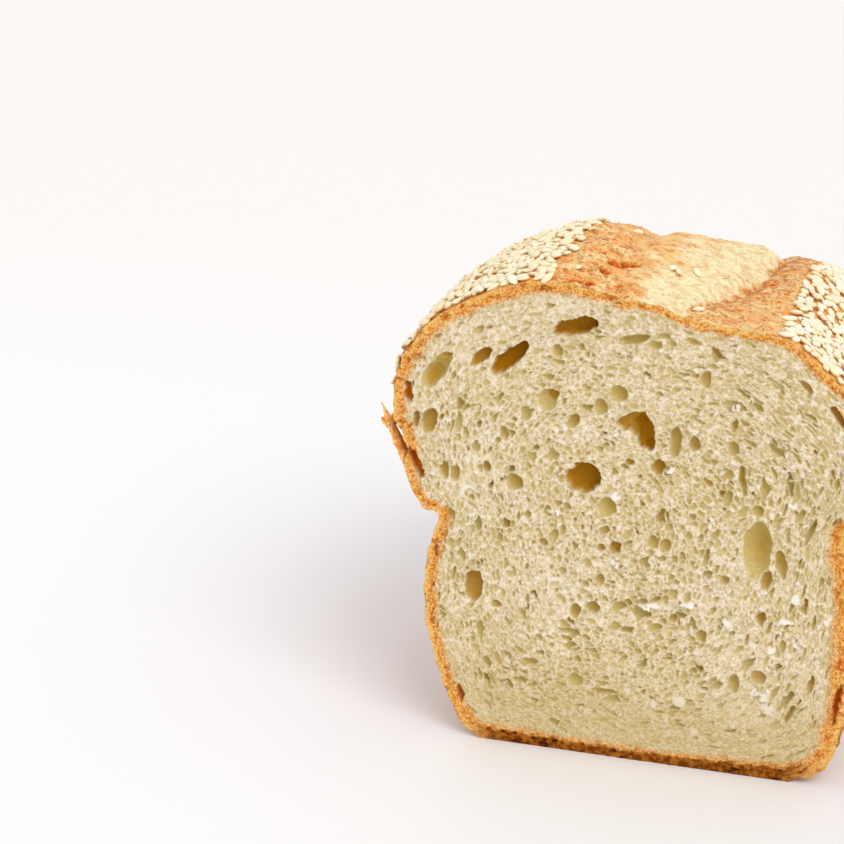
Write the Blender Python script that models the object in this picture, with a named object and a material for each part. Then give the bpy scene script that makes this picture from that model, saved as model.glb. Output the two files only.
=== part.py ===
"""A tin loaf that has been cut across. It lies on its flat base, with the cut face towards -Y.

The outline of the loaf is given at three places: down its left side, down its right side and
down its far end. Every level of the loaf is one ring through those three, and the rings run
from the edge of the flat base, up the wall that the tin shaped, in at the waist where the tin's
rim was, out over the domed top, and in to the ridge line along the middle.
"""

import math
import random

import bmesh
import bpy
import numpy as np
from mathutils import Matrix, Vector

NODE = "tin_loaf"

PIECE_LENGTH = 0.120
CUT_Y = -PIECE_LENGTH / 2

# Each row is one level: its name, then (x, z) of the left side and of the right side at the cut,
# (y from the cut, z) of the far end, and how square the ring's far corners are.
LEVELS = (
    ("foot", (-0.0375, 0.0000), (0.0370, 0.0000), (0.1010, 0.0000), 5.0),
    ("heel", (-0.0428, 0.0050), (0.0450, 0.0045), (0.1075, 0.0050), 5.0),
    ("lower wall", (-0.0485, 0.0184), (0.0490, 0.0170), (0.1120, 0.0170), 5.0),
    ("belly", (-0.0516, 0.0335), (0.0494, 0.0310), (0.1145, 0.0320), 5.0),
    ("upper wall", (-0.0507, 0.0460), (0.0472, 0.0480), (0.1135, 0.0455), 4.8),
    ("waist", (-0.0478, 0.0558), (0.0453, 0.0610), (0.1105, 0.0565), 4.4),
    ("under the lip", (-0.0520, 0.0582), (0.0496, 0.0632), (0.1145, 0.0588), 4.2),
    ("lip", (-0.0558, 0.0650), (0.0542, 0.0675), (0.1180, 0.0640), 3.8),
    ("cheek", (-0.0586, 0.0790), (0.0572, 0.0755), (0.1200, 0.0740), 3.4),
    ("upper cheek", (-0.0580, 0.0905), (0.0552, 0.0840), (0.1184, 0.0835), 3.1),
    ("shoulder", (-0.0500, 0.1030), (0.0480, 0.0922), (0.1125, 0.0930), 2.9),
    ("crown edge", (-0.0360, 0.1112), (0.0395, 0.0996), (0.1030, 0.0995), 2.7),
    ("crown", (-0.0210, 0.1150), (0.0310, 0.1057), (0.0910, 0.1040), 2.6),
    ("beside the ridge", (-0.0075, 0.1130), (0.0170, 0.1076), (0.0780, 0.1065), 2.5),
    ("ridge", (0.0035, 0.1100), (0.0065, 0.1095), (0.0670, 0.1078), 2.4),
)
LEVEL = {row[0]: number for number, row in enumerate(LEVELS)}
TOP_LEVEL = len(LEVELS) - 1

# Behind the cut the left of the crown rises a little towards the loaf's middle, and the right falls.
CROWN_RISE = 0.0042
CROWN_RISE_SPAN = 0.115
CROWN_LEVEL_X = 0.004
CROWN_HIGH_X = -0.022
CROWN_RIGHT_FALL = 0.5
END_FALL_POWER = 3.2

# The crust burst open along the top. The burst is a lens that is widest near the loaf's middle.
BURST_MIDDLE_X = 0.0062
BURST_HALF_WIDTH = 0.0160
BURST_START_Y = -0.018
BURST_END_Y = 0.108
BURST_HEIGHT = 0.0026
BURST_ROUNDNESS = 0.7
BURST_EDGE_DIP = 0.0013
BURST_EDGE_WIDTH = 0.0028

RINGS_PER_LEVEL = 2
POINTS_ROUND = 44
RING_SAMPLES = 240

# The largest bubbles that the knife opened: (x, z, width, height, lean in degrees, depth).
BUBBLES = (
    (-0.0161, 0.1045, 0.0100, 0.0040, 12, 0.0060),
    (-0.0313, 0.0960, 0.0112, 0.0042, 42, 0.0065),
    (-0.0381, 0.0959, 0.0062, 0.0028, 38, 0.0030),
    (-0.0484, 0.0920, 0.0105, 0.0042, 52, 0.0025),
    (-0.0026, 0.1028, 0.0068, 0.0028, 15, 0.0025),
    (-0.0056, 0.0900, 0.0042, 0.0042, 0, 0.0026),
    (-0.0212, 0.0880, 0.0038, 0.0040, 0, 0.0030),
    (-0.0019, 0.0828, 0.0070, 0.0090, 40, 0.0060),
    (-0.0135, 0.0696, 0.0078, 0.0072, 10, 0.0075),
    (0.0076, 0.0798, 0.0030, 0.0080, -6, 0.0028),
    (0.0118, 0.0798, 0.0028, 0.0044, 0, 0.0024),
    (0.0040, 0.0738, 0.0032, 0.0042, -30, 0.0030),
    (-0.0502, 0.0797, 0.0036, 0.0060, -15, 0.0030),
    (-0.0076, 0.0630, 0.0050, 0.0048, 0, 0.0020),
    (0.0271, 0.0564, 0.0066, 0.0140, -4, 0.0030),
    (-0.0392, 0.0393, 0.0046, 0.0078, -8, 0.0040),
    (0.0323, 0.0534, 0.0027, 0.0072, 20, 0.0026),
)
BUBBLE_SEGMENTS = 12
BUBBLE_RINGS = 7

# A flake of crust stands off the left cheek at the cut, torn along its top: (x, z) round its edge.
FLAKE_OUTLINE = (
    (-0.0556, 0.0680),
    (-0.0578, 0.0706),
    (-0.0593, 0.0736),
    (-0.0603, 0.0762),
    (-0.0619, 0.0779),
    (-0.0611, 0.0790),
    (-0.0619, 0.0827),
    (-0.0602, 0.0803),
    (-0.0592, 0.0782),
    (-0.0582, 0.0757),
    (-0.0568, 0.0728),
    (-0.0540, 0.0700),
)
FLAKE_FRONT = 0.0004
FLAKE_DEPTH = 0.0090
FLAKE_BACK_SHIFT = 0.0045
FLAKE_BACK_SCALE = 0.6
# The slit between the flake and the crumb is cut as one more bubble.
FLAKE_SLIT = (-0.0576, 0.0762, 0.0017, 0.0092, -22, 0.0050)

# Sesame seeds, in a band along each shoulder and a few on the bare crust between.
SEED_LENGTH = 0.0034
SEED_WIDTH = 0.0021
SEED_THICKNESS = 0.0013
SEED_SINK = 0.15
SEED_SEGMENTS = 6
SEED_RINGS = 4
SEED_BAND_LEFT_X = -0.0235
SEED_BAND_RIGHT_X = 0.0290
SEED_LOWEST_LEVEL = LEVEL["upper cheek"] - 0.2
SEED_HIGHEST_LEVEL = LEVEL["crown"] + 0.6
SEED_COUNT = 170
SEED_TRIES = 40 * SEED_COUNT
SEED_SPACING = 0.0046
SEED_CLEAR_OF_CUT = 0.0024
LONE_SEEDS = ((-0.002, 0.024), (0.003, 0.020), (0.001, 0.013), (0.014, 0.004), (-0.016, 0.052))
RANDOM_SEED = 11

CRUST_COLOUR = (0.56, 0.25, 0.07, 1.0)
CRUST_ROUGHNESS = 0.55


def clear_scene():
    for item in list(bpy.data.objects):
        bpy.data.objects.remove(item)


def along(values, t):
    """The value at t on a smooth curve through equally spaced values."""
    last = len(values) - 1
    t = min(max(t, 0.0), float(last))
    i = min(int(t), last - 1)
    u = t - i
    p1, p2 = values[i], values[i + 1]
    p0 = values[i - 1] if i > 0 else 2 * p1 - p2
    p3 = values[i + 2] if i + 2 <= last else 2 * p2 - p1
    bend = 2 * p0 - 5 * p1 + 4 * p2 - p3
    twist = 3 * (p1 - p2) + p3 - p0
    return 0.5 * (2 * p1 + (p2 - p0) * u + bend * u * u + twist * u * u * u)


LEVEL_VALUES = np.array([[*left, *right, *end, square] for _, left, right, end, square in LEVELS])


def burst_half_width(y):
    """Half the width of the burst, y from the cut."""
    turn = math.pi * (y - BURST_START_Y) / (BURST_END_Y - BURST_START_Y)
    return BURST_HALF_WIDTH * max(math.sin(turn), 0.0) if 0 < turn < math.pi else 0.0


def burst_relief(x, y):
    """How far the burst lifts the top, or dips at its edges."""
    half = burst_half_width(y)
    if half < 0.001:
        return 0.0
    across = (x - BURST_MIDDLE_X) / half
    share = half / BURST_HALF_WIDTH
    hump = BURST_HEIGHT * share * max(1.0 - across * across, 0.0) ** BURST_ROUNDNESS
    off_edge = (abs(across) - 1.0) * half / BURST_EDGE_WIDTH
    return hump - BURST_EDGE_DIP * share * math.exp(-off_edge * off_edge)


def ring(t):
    """Points of the ring at level t, from the cut on the left, round the far end, to the cut on the right."""
    x_left, z_left, x_right, z_right, y_end, z_end, square = along(LEVEL_VALUES, t)
    angle = np.linspace(math.pi, 0.0, RING_SAMPLES)
    cos, sin = np.cos(angle), np.sin(angle)
    power = 2.0 / square
    across = np.sign(cos) * np.abs(cos) ** power
    x = (x_left + x_right) / 2 + (x_right - x_left) / 2 * across
    y = y_end * np.abs(sin) ** power
    side = (across + 1) / 2
    z_side = z_left + (z_right - z_left) * side * side * (3 - 2 * side)
    back = (y / y_end) ** END_FALL_POWER
    z = z_side + (z_end - z_side) * back
    height = min(max((t - LEVEL["waist"]) / (TOP_LEVEL - LEVEL["waist"]), 0.0), 1.0)
    along_crown = np.sin(math.pi * np.minimum(y / CROWN_RISE_SPAN, 1.0))
    leftward = np.clip((CROWN_LEVEL_X - x) / (CROWN_LEVEL_X - CROWN_HIGH_X), -CROWN_RIGHT_FALL, 1.0)
    z = z + CROWN_RISE * math.sin(height * math.pi / 2) * along_crown * leftward
    if t > LEVEL["shoulder"]:
        fade = min(t - LEVEL["shoulder"], 1.0)
        z = z + fade * np.array([burst_relief(a, b) for a, b in zip(x, y)])
    return np.column_stack([x, y + CUT_Y, z])


def spaced(points, count):
    """Count points at equal distances along the line through points."""
    steps = np.linalg.norm(np.diff(points, axis=0), axis=1)
    run = np.concatenate([[0.0], np.cumsum(steps)])
    at = np.linspace(0.0, run[-1], count)
    return np.column_stack([np.interp(at, run, points[:, axis]) for axis in range(3)])


def skin_point(t, share):
    """The point on the crust at level t, this share of the way round from left to right."""
    points = ring(t)
    steps = np.linalg.norm(np.diff(points, axis=0), axis=1)
    run = np.concatenate([[0.0], np.cumsum(steps)])
    return Vector([float(np.interp(share * run[-1], run, points[:, axis])) for axis in range(3)])


def skin_frame(t, share, turn):
    """A matrix on the crust: Z out of it, X along it, turned about Z."""
    here = skin_point(t, share)
    up = skin_point(t + 0.05, share) - skin_point(t - 0.05, share)
    round_it = skin_point(t, share + 0.004) - skin_point(t, share - 0.004)
    normal = round_it.cross(up).normalized()
    side = up.cross(normal).normalized()
    axes = Matrix((side, normal.cross(side), normal)).transposed()
    return Matrix.Translation(here) @ (axes @ Matrix.Rotation(turn, 3, "Z")).to_4x4()


def build_body():
    """The loaf without its bubbles and seeds: rings joined by faces, a flat base and the cut face."""
    levels = np.linspace(0.0, TOP_LEVEL, TOP_LEVEL * RINGS_PER_LEVEL + 1)
    rings = [spaced(ring(t), POINTS_ROUND) for t in levels]
    body = bmesh.new()
    rows = [[body.verts.new(point) for point in points] for points in rings]
    for low, high in zip(rows, rows[1:]):
        for i in range(POINTS_ROUND - 1):
            body.faces.new((low[i + 1], low[i], high[i], high[i + 1]))
    top = rows[-1]
    for i in range(POINTS_ROUND // 2 - 1):
        j = POINTS_ROUND - 1 - i
        body.faces.new((top[i + 1], top[i], top[j], top[j - 1]))
    body.faces.new(rows[0])
    left_edge = [row[0] for row in rows]
    right_edge = [row[-1] for row in reversed(rows)]
    body.faces.new(left_edge + right_edge)
    bmesh.ops.recalc_face_normals(body, faces=body.faces)
    bmesh.ops.triangulate(body, faces=body.faces)
    mesh = bpy.data.meshes.new(NODE)
    body.to_mesh(mesh)
    body.free()
    loaf = bpy.data.objects.new(NODE, mesh)
    bpy.context.scene.collection.objects.link(loaf)
    return loaf


def ellipsoid(name, size, place, segments, rings, group):
    """A closed ellipsoid of that (x, y, z) size, as an object in the group."""
    shape = bmesh.new()
    bmesh.ops.create_uvsphere(shape, u_segments=segments, v_segments=rings, radius=0.5)
    bmesh.ops.transform(shape, matrix=place @ Matrix.Diagonal((*size, 1.0)), verts=shape.verts)
    mesh = bpy.data.meshes.new(name)
    shape.to_mesh(mesh)
    shape.free()
    group.objects.link(bpy.data.objects.new(name, mesh))


def bubbles(group):
    """Cutters for the bubbles: each is widest at the cut face and reaches its depth behind it."""
    for number, (x, z, width, height, lean, depth) in enumerate((*BUBBLES, FLAKE_SLIT)):
        place = Matrix.Translation((x, CUT_Y, z)) @ Matrix.Rotation(-math.radians(lean), 4, "Y")
        size = (width, 2 * depth, height)
        ellipsoid(f"bubble_{number}", size, place, BUBBLE_SEGMENTS, BUBBLE_RINGS, group)


def flake(group):
    """The torn flake: its front edge stands off the cheek and its back runs into it."""
    root_x, root_z = FLAKE_OUTLINE[0]
    shape = bmesh.new()
    front = [shape.verts.new((x, CUT_Y + FLAKE_FRONT, z)) for x, z in FLAKE_OUTLINE]
    back = []
    for x, z in FLAKE_OUTLINE:
        back_x = root_x + FLAKE_BACK_SHIFT + (x - root_x) * FLAKE_BACK_SCALE
        back_z = root_z + (z - root_z) * FLAKE_BACK_SCALE
        back.append(shape.verts.new((back_x, CUT_Y + FLAKE_DEPTH, back_z)))
    shape.faces.new(front)
    shape.faces.new(reversed(back))
    for i in range(len(front)):
        j = (i + 1) % len(front)
        shape.faces.new((front[j], front[i], back[i], back[j]))
    bmesh.ops.recalc_face_normals(shape, faces=shape.faces)
    bmesh.ops.triangulate(shape, faces=shape.faces)
    mesh = bpy.data.meshes.new("flake")
    shape.to_mesh(mesh)
    shape.free()
    group.objects.link(bpy.data.objects.new("flake", mesh))


def in_seed_band(point):
    return point.x < SEED_BAND_LEFT_X or point.x > SEED_BAND_RIGHT_X


def seed_places(draw):
    """(level, share, turn) of each seed: even over the two bands, with a set least distance."""
    places, taken = [], []
    for _ in range(SEED_TRIES):
        if len(places) == SEED_COUNT:
            break
        t = draw.uniform(SEED_LOWEST_LEVEL, SEED_HIGHEST_LEVEL)
        share = draw.uniform(0.0, 1.0)
        point = skin_point(t, share)
        if not in_seed_band(point) or point.y < CUT_Y + SEED_CLEAR_OF_CUT:
            continue
        if any((point - other).length < SEED_SPACING for other in taken):
            continue
        taken.append(point)
        places.append((t, share, draw.uniform(0.0, math.pi)))
    return places


def lone_seed_places(draw):
    """Places of the few seeds on the bare crust, given by x and y from the cut."""
    places = []
    for x, y in LONE_SEEDS:
        side = 0 if x < BURST_MIDDLE_X else 1
        spots = [(t, share) for t in np.arange(LEVEL["crown"], TOP_LEVEL - 0.1, 0.1)
                 for share in np.arange(0.02, 0.48, 0.02) + side * 0.5]
        miss = [(skin_point(t, share) - Vector((x, y + CUT_Y, 0))).xy.length for t, share in spots]
        t, share = spots[miss.index(min(miss))]
        places.append((t, share, draw.uniform(0.0, math.pi)))
    return places


def seeds(group):
    draw = random.Random(RANDOM_SEED)
    places = seed_places(draw) + lone_seed_places(draw)
    lift = SEED_THICKNESS * SEED_SINK
    for number, (t, share, turn) in enumerate(places):
        frame = skin_frame(t, share, turn) @ Matrix.Translation((0, 0, lift))
        size = (SEED_LENGTH, SEED_WIDTH, SEED_THICKNESS)
        ellipsoid(f"seed_{number}", size, frame, SEED_SEGMENTS, SEED_RINGS, group)


def apply_boolean(target, group, operation, solver):
    """Cuts or joins the group's objects in one step, then removes them."""
    modifier = target.modifiers.new(operation.lower(), "BOOLEAN")
    modifier.operation = operation
    modifier.operand_type = "COLLECTION"
    modifier.collection = group
    modifier.solver = solver
    bpy.context.view_layer.update()
    shape = target.evaluated_get(bpy.context.evaluated_depsgraph_get())
    mesh = bpy.data.meshes.new_from_object(shape)
    target.modifiers.remove(modifier)
    target.data = mesh
    for item in list(group.objects):
        bpy.data.objects.remove(item)
    bpy.data.collections.remove(group)


def new_group(name):
    group = bpy.data.collections.new(name)
    bpy.context.scene.collection.children.link(group)
    return group


def crust_material():
    material = bpy.data.materials.new("baked crust")
    material.use_nodes = True
    shader = material.node_tree.nodes["Principled BSDF"]
    shader.inputs["Base Color"].default_value = CRUST_COLOUR
    shader.inputs["Roughness"].default_value = CRUST_ROUGHNESS
    shader.inputs["Metallic"].default_value = 0.0
    return material


def main():
    clear_scene()
    loaf = build_body()
    cutters = new_group("bubbles")
    bubbles(cutters)
    apply_boolean(loaf, cutters, "DIFFERENCE", "EXACT")
    toppings = new_group("flake and seeds")
    flake(toppings)
    seeds(toppings)
    apply_boolean(loaf, toppings, "UNION", "MANIFOLD")
    loaf.data.materials.clear()
    loaf.data.materials.append(crust_material())


main()
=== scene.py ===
"""The looks of the cut tin loaf: its baked crust, open crumb, torn flake and sesame seeds."""

import math

import bpy
import numpy as np
from mathutils import Matrix, Vector, kdtree


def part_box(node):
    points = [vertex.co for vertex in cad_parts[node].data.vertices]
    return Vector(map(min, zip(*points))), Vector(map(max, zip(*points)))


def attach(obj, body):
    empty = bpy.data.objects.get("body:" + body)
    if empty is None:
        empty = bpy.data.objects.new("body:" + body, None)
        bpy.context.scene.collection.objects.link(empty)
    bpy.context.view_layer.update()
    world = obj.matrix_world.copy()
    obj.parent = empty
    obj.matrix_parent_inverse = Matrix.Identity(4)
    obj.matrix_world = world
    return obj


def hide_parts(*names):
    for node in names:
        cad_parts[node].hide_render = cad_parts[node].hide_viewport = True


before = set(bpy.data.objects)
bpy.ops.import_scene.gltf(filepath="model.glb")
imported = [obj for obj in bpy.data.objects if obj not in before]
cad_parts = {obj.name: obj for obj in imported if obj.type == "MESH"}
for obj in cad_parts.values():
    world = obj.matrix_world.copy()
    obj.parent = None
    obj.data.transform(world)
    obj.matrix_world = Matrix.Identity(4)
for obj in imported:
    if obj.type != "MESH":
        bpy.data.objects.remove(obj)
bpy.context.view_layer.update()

# Crust
# The skin of a loaf of white wheat dough, baked in a small tin. The tin shaped the walls; the dough
# above its rim rose free into a dome, bulged out over the waist and burst open along the top.

cut_y = float(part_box("tin_loaf")[0][1])
TENTHS_IN_METRE = 10000


def metres(rows, lengths):
    """Rows whose first numbers, as many as lengths, were in tenths of a millimetre."""
    return [(*(value / TENTHS_IN_METRE for value in row[:lengths]), *row[lengths:]) for row in rows]


# Each level: left (x, z) and right (x, z) at the cut, far end (y from the cut, z), squareness. The
# lengths in the tables are in tenths of a millimetre.
LEVELS = (
    ("foot", (-375, 0), (370, 0), (1010, 0), 5.0),
    ("heel", (-428, 50), (450, 45), (1075, 50), 5.0),
    ("lower wall", (-485, 184), (490, 170), (1120, 170), 5.0),
    ("belly", (-516, 335), (494, 310), (1145, 320), 5.0),
    ("upper wall", (-507, 460), (490, 480), (1135, 455), 4.8),
    ("waist", (-478, 558), (461, 610), (1105, 565), 4.4),
    ("under the lip", (-520, 582), (496, 632), (1145, 588), 4.2),
    ("lip", (-558, 650), (542, 675), (1180, 640), 3.8),
    ("cheek", (-586, 790), (572, 755), (1200, 740), 3.4),
    ("upper cheek", (-580, 905), (552, 840), (1184, 835), 3.1),
    ("shoulder", (-500, 1030), (480, 922), (1125, 930), 2.9),
    ("crown edge", (-360, 1112), (395, 996), (1030, 995), 2.7),
    ("crown", (-210, 1150), (310, 1057), (910, 1040), 2.6),
    ("beside the ridge", (-75, 1130), (170, 1076), (780, 1065), 2.5),
    ("ridge", (35, 1100), (65, 1095), (670, 1078), 2.4),
)
LEVEL = {row[0]: number for number, row in enumerate(LEVELS)}
level_rows = [(*left, *right, *end, square) for _, left, right, end, square in LEVELS]
LEVEL_VALUES = np.array(metres(level_rows, 6))
TOP_LEVEL = len(LEVELS) - 1

CROWN_RISE = 0.0042
CROWN_RISE_SPAN = 0.115
CROWN_LEVEL_X = 0.004
CROWN_HIGH_X = -0.022
CROWN_RIGHT_FALL = 0.5
END_FALL_POWER = 3.2

# The burst's edges along the top: (y from the cut, left x, right x).
BURST_EDGES = np.array(metres((
    (0, -45, 78),
    (70, -85, 84),
    (160, -88, 104),
    (280, -88, 134),
    (420, -95, 164),
    (580, -104, 186),
    (760, -106, 196),
    (940, -80, 160),
    (1080, 10, 70),
), 3))
BURST_WIDEST = 0.0302
BURST_ENDS_BELOW = 0.001
BURST_HEIGHT = 0.0024
BURST_ROUNDNESS = 0.55
BURST_LEFT_SHARE = 0.45
BURST_EDGE_DIP = 0.0014
BURST_EDGE_WIDTH = 0.0024

SKIN_CELL = 0.00062
RING_SAMPLES = 900


def along(values, t):
    """The value at t on a smooth curve through equally spaced values."""
    last = len(values) - 1
    t = min(max(t, 0.0), float(last))
    i = min(int(t), last - 1)
    u = t - i
    p1, p2 = values[i], values[i + 1]
    p0 = values[i - 1] if i > 0 else 2 * p1 - p2
    p3 = values[i + 2] if i + 2 <= last else 2 * p2 - p1
    bend = 2 * p0 - 5 * p1 + 4 * p2 - p3
    twist = 3 * (p1 - p2) + p3 - p0
    return 0.5 * (2 * p1 + (p2 - p0) * u + bend * u * u + twist * u * u * u)


def smooth(low, high, values):
    """0 below low, 1 above high, and an even S between them."""
    t = np.clip((values - low) / (high - low), 0.0, 1.0)
    return t * t * (3 - 2 * t)


def burst_sides(y):
    """The middle and half the width of the burst, y from the cut."""
    left, right = (np.interp(y, BURST_EDGES[:, 0], BURST_EDGES[:, side], 0.0, 0.0) for side in (1, 2))
    return (left + right) / 2, (right - left) / 2


def across_burst(x, y):
    """-1 at the burst's left edge and 1 at its right edge."""
    middle, half = burst_sides(y)
    return (x - middle) / np.maximum(half, 0.0002)


def burst_relief(x, y):
    """How far the burst lifts the top, or dips at its edges."""
    half = burst_sides(y)[1]
    across = across_burst(x, y)
    rightward = (np.clip(across, -1.0, 1.0) + 1.0) / 2
    share = half / (BURST_WIDEST / 2) * (BURST_LEFT_SHARE + (1 - BURST_LEFT_SHARE) * rightward)
    hump = BURST_HEIGHT * share * np.maximum(1.0 - across * across, 0.0) ** BURST_ROUNDNESS
    off_edge = (np.abs(across) - 1.0) * half / BURST_EDGE_WIDTH
    dip = BURST_EDGE_DIP * share * np.exp(-off_edge * off_edge)
    return np.where(half > BURST_ENDS_BELOW, hump - dip, 0.0)


def ring(t):
    """Points round the loaf at level t, from the cut on the left to the cut on the right."""
    x_left, z_left, x_right, z_right, y_end, z_end, square = along(LEVEL_VALUES, t)
    angle = np.linspace(math.pi, 0.0, RING_SAMPLES)
    cos, sin = np.cos(angle), np.sin(angle)
    power = 2.0 / square
    across = np.sign(cos) * np.abs(cos) ** power
    x = (x_left + x_right) / 2 + (x_right - x_left) / 2 * across
    y = y_end * np.abs(sin) ** power
    side = (across + 1) / 2
    z_side = z_left + (z_right - z_left) * side * side * (3 - 2 * side)
    z = z_side + (z_end - z_side) * (y / y_end) ** END_FALL_POWER
    height = min(max((t - LEVEL["waist"]) / (TOP_LEVEL - LEVEL["waist"]), 0.0), 1.0)
    along_crown = np.sin(np.pi * np.minimum(y / CROWN_RISE_SPAN, 1.0))
    leftward = np.clip((CROWN_LEVEL_X - x) / (CROWN_LEVEL_X - CROWN_HIGH_X), -CROWN_RIGHT_FALL, 1.0)
    z = z + CROWN_RISE * math.sin(height * math.pi / 2) * along_crown * leftward
    z = z + min(max(t - LEVEL["shoulder"], 0.0), 1.0) * burst_relief(x, y)
    return np.column_stack([x, y + cut_y, z])


def spaced(points, count):
    """Count points at equal distances along the line through points."""
    run = np.concatenate([[0.0], np.cumsum(np.linalg.norm(np.diff(points, axis=0), axis=1))])
    at = np.linspace(0.0, run[-1], count)
    return np.column_stack([np.interp(at, run, points[:, axis]) for axis in range(3)])


# Noise: a lattice of random numbers, read smoothly at any place and scale.
LATTICE_SIDE = 64
lattice = np.random.default_rng(5).uniform(-1.0, 1.0, (LATTICE_SIDE,) * 3)


def noise(points, size, seed=0):
    """Smooth noise from -1 to 1 whose lumps are about size across; size may differ by axis."""
    place = points / np.asarray(size) + np.array([11.3, 23.7, 5.9]) * (seed + 1)
    whole = np.floor(place).astype(np.int64)
    part = place - whole
    part = part * part * part * (part * (part * 6 - 15) + 10)
    total = np.zeros(len(points))
    for corner in range(8):
        step = np.array([corner & 1, corner >> 1 & 1, corner >> 2 & 1])
        weight = np.prod(np.where(step, part, 1 - part), axis=1)
        a, b, c = ((whole + step) % LATTICE_SIDE).T
        total += weight * lattice[a, b, c]
    return total


def rough(points, size, seed=0, octaves=3):
    """Several noises together, each half the size and strength of the one before."""
    size = np.asarray(size, dtype=float)
    return sum(noise(points, size / 2**i, seed + 7 * i) / 2**i for i in range(octaves))


def grid_faces(index):
    """Quads that join the neighbours in a two-way table of vertex numbers."""
    quads = (index[:-1, :-1], index[:-1, 1:], index[1:, 1:], index[1:, :-1])
    return np.stack(quads, axis=-1).reshape(-1, 4)


def new_mesh(name, points, faces):
    """An object from arrays of points and of quads, shaded smooth."""
    mesh = bpy.data.meshes.new(name)
    mesh.vertices.add(len(points))
    mesh.vertices.foreach_set("co", np.asarray(points, dtype=np.float32).ravel())
    mesh.loops.add(faces.size)
    mesh.loops.foreach_set("vertex_index", faces.astype(np.int32).ravel())
    mesh.polygons.add(len(faces))
    sides = faces.shape[1]
    mesh.polygons.foreach_set("loop_start", np.arange(0, faces.size, sides, dtype=np.int32))
    mesh.update(calc_edges=True)
    mesh.validate()
    mesh.shade_smooth()
    made = bpy.data.objects.new(name, mesh)
    bpy.context.scene.collection.objects.link(made)
    return made


def directions(made):
    """The outward direction of the surface at each point of an object."""
    out = np.empty(3 * len(made.data.vertices), dtype=np.float32)
    made.data.vertex_normals.foreach_get("vector", out)
    return out.reshape(-1, 3).astype(float)


def move_points(made, points):
    made.data.vertices.foreach_set("co", points.astype(np.float32).ravel())
    made.data.update()


def paint(made, name, values):
    """Keeps one number for each point of an object, for its finish to read."""
    layer = made.data.attributes.new(name, "FLOAT", "POINT")
    layer.data.foreach_set("value", values.astype(np.float32))


def nearest(points, centres):
    """For each point, the number of the nearest centre and the distance to it."""
    tree = kdtree.KDTree(len(centres))
    for number, centre in enumerate(centres):
        tree.insert(centre, number)
    tree.balance()
    found = [tree.find(point)[1:] for point in points]
    return np.array([item[0] for item in found]), np.array([item[1] for item in found])


def strip_rows(row, steps):
    """Rows of points that close the gap between the two halves of a ring, left to right."""
    half = len(row) // 2
    left, right = row[:half], row[::-1][:half]
    share = np.arange(1, steps)[None, :, None] / steps
    return left[:, None, :] * (1 - share) + right[:, None, :] * share


def strip_index(row_index, first, half, steps):
    """The table of vertex numbers for the same strip."""
    inner = first + np.arange(half * (steps - 1)).reshape(half, steps - 1)
    return np.column_stack([row_index[:half], inner, row_index[::-1][:half]])


PROFILE_SAMPLES = 600
profile_levels = np.linspace(0.0, TOP_LEVEL, PROFILE_SAMPLES)
profile = np.array([ring(t)[0] for t in profile_levels])
profile_run = np.concatenate([[0.0], np.cumsum(np.linalg.norm(np.diff(profile, axis=0), axis=1))])
ring_count = int(profile_run[-1] / SKIN_CELL)
ring_levels = np.interp(np.linspace(0, profile_run[-1], ring_count), profile_run, profile_levels)
HALF_WAY_ROUND = 0.150
POINTS_ROUND = 2 * int(HALF_WAY_ROUND / SKIN_CELL)
skin = np.array([spaced(ring(t), POINTS_ROUND) for t in ring_levels])
RIDGE_STEPS = 6
BASE_STEPS = 60
skin_index = np.arange(skin.shape[0] * skin.shape[1]).reshape(skin.shape[:2])
ridge_points = strip_rows(skin[-1], RIDGE_STEPS).reshape(-1, 3)
base_points = strip_rows(skin[0], BASE_STEPS).reshape(-1, 3)
half_round = POINTS_ROUND // 2
ridge_index = strip_index(skin_index[-1], skin_index.size, half_round, RIDGE_STEPS)
base_index = strip_index(skin_index[0], skin_index.size + len(ridge_points), half_round, BASE_STEPS)
crust_points = np.concatenate([skin.reshape(-1, 3), ridge_points, base_points])
crust_faces = np.concatenate([
    grid_faces(skin_index)[:, ::-1],
    grid_faces(ridge_index),
    grid_faces(base_index)[:, ::-1],
])
crust = new_mesh("crust", crust_points, crust_faces)
level_of = np.concatenate([
    np.repeat(ring_levels, POINTS_ROUND),
    np.full(len(ridge_points), float(TOP_LEVEL)),
    np.zeros(len(base_points)),
])
skin_out = directions(crust)
from_cut = crust_points[:, 1] - cut_y
across = across_burst(crust_points[:, 0], from_cut)
edge_wander = 0.10 * rough(crust_points, 0.006, 3)
on_top = smooth(LEVEL["shoulder"] - 0.2, LEVEL["crown edge"], level_of)
burst = on_top * (burst_sides(from_cut)[1] > BURST_ENDS_BELOW)
burst *= 1 - smooth(0.94, 1.03, across + edge_wander)
burst *= smooth(-1.15, -0.55, across + 0.35 * rough(crust_points, 0.005, 8))
risen = smooth(LEVEL["waist"] + 0.2, LEVEL["lip"], level_of)
wall = 1 - risen
SEED_BAND_LEFT_X = -0.0235
SEED_BAND_RIGHT_X = 0.0290
bare = on_top * smooth(SEED_BAND_LEFT_X - 0.002, SEED_BAND_LEFT_X + 0.002, crust_points[:, 0])
bare *= 1 - smooth(SEED_BAND_RIGHT_X - 0.002, SEED_BAND_RIGHT_X + 0.002, crust_points[:, 0])

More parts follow.
